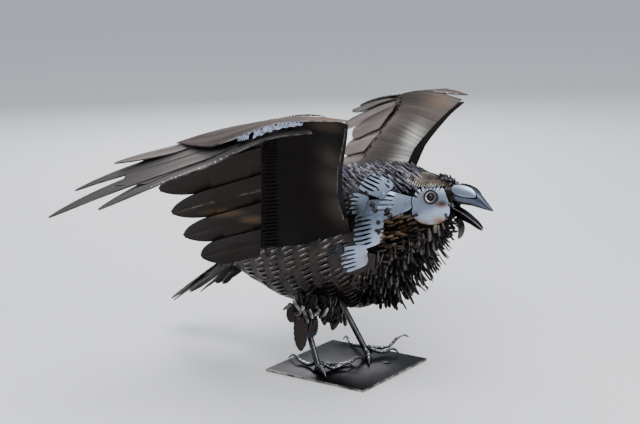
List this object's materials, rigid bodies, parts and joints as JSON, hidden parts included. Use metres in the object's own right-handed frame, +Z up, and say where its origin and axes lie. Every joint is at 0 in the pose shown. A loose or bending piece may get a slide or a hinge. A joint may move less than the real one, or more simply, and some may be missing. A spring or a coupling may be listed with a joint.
{
  "type": "wrought iron crow sculpture",
  "caption": "Life-size crow of cut, bent and welded blackened steel sheet, wings raised and beak open, standing on a square steel plate.",
  "frame": {"origin": "the middle of the square plate's underside", "axes": "+X is the way the bird looks, +Y its left and +Z up; the plate's edges lie along X and Y"},
  "size_m": [0.4059, 0.5278, 0.2767],
  "materials": {
    "black_steel": "fire-blackened and oiled sheet and rod, glossy, with worn bright edges",
    "wing_steel": "brown-grey tempered sheet with grinder marks, semi-gloss",
    "bright_steel": "blue-grey polished sheet, orange and brown heat tint at the rims",
    "eye_steel": "polished black bead in a worn steel ring",
    "plate_steel": "blackened plate, satin, bright at its edges"
  },
  "bodies": {
    "root": {"base_plate": "plate_steel", "body": "black_steel", "beak_upper": "bright_steel", "beak_lower": "black_steel", "throat_strip": "black_steel", "face_plate_left": "bright_steel", "face_plate_right": "bright_steel", "nostril_plate_left": "bright_steel", "nostril_plate_right": "bright_steel", "eye_left": "eye_steel", "eye_right": "eye_steel", "wing_left_arm_sheet": "wing_steel", "wing_left_front_strip": "black_steel", "wing_left_hand_plate": "wing_steel", "wing_left_primary_1": "wing_steel", "wing_left_primary_2": "wing_steel", "wing_left_primary_3": "wing_steel", "wing_left_primary_4": "wing_steel", "wing_left_secondary_1": "black_steel", "wing_left_secondary_2": "black_steel", "wing_left_secondary_3": "black_steel", "wing_left_secondary_4": "black_steel", "wing_left_secondary_5": "black_steel", "wing_right_arm_sheet": "wing_steel", "wing_right_front_strip": "black_steel", "wing_right_hand_plate": "wing_steel", "wing_right_primary_1": "wing_steel", "wing_right_primary_2": "wing_steel", "wing_right_primary_3": "wing_steel", "wing_right_primary_4": "wing_steel", "wing_right_secondary_1": "black_steel", "wing_right_secondary_2": "black_steel", "wing_right_secondary_3": "black_steel", "wing_right_secondary_4": "black_steel", "wing_right_secondary_5": "black_steel", "tail_top_middle_1": "wing_steel", "tail_top_left_2": "wing_steel", "tail_top_right_2": "wing_steel", "tail_under_left_1": "wing_steel", "tail_under_left_2": "wing_steel", "tail_under_right_1": "wing_steel", "tail_under_right_2": "wing_steel", "leg_left": "black_steel", "leg_right": "black_steel", "thigh_left": "black_steel", "thigh_right": "black_steel", "toe_left_back": "black_steel", "toe_left_inner": "black_steel", "toe_left_middle": "black_steel", "toe_left_outer": "black_steel", "toe_right_back": "black_steel", "toe_right_inner": "black_steel", "toe_right_middle": "black_steel", "toe_right_outer": "black_steel"}
  },
  "joints": []
}
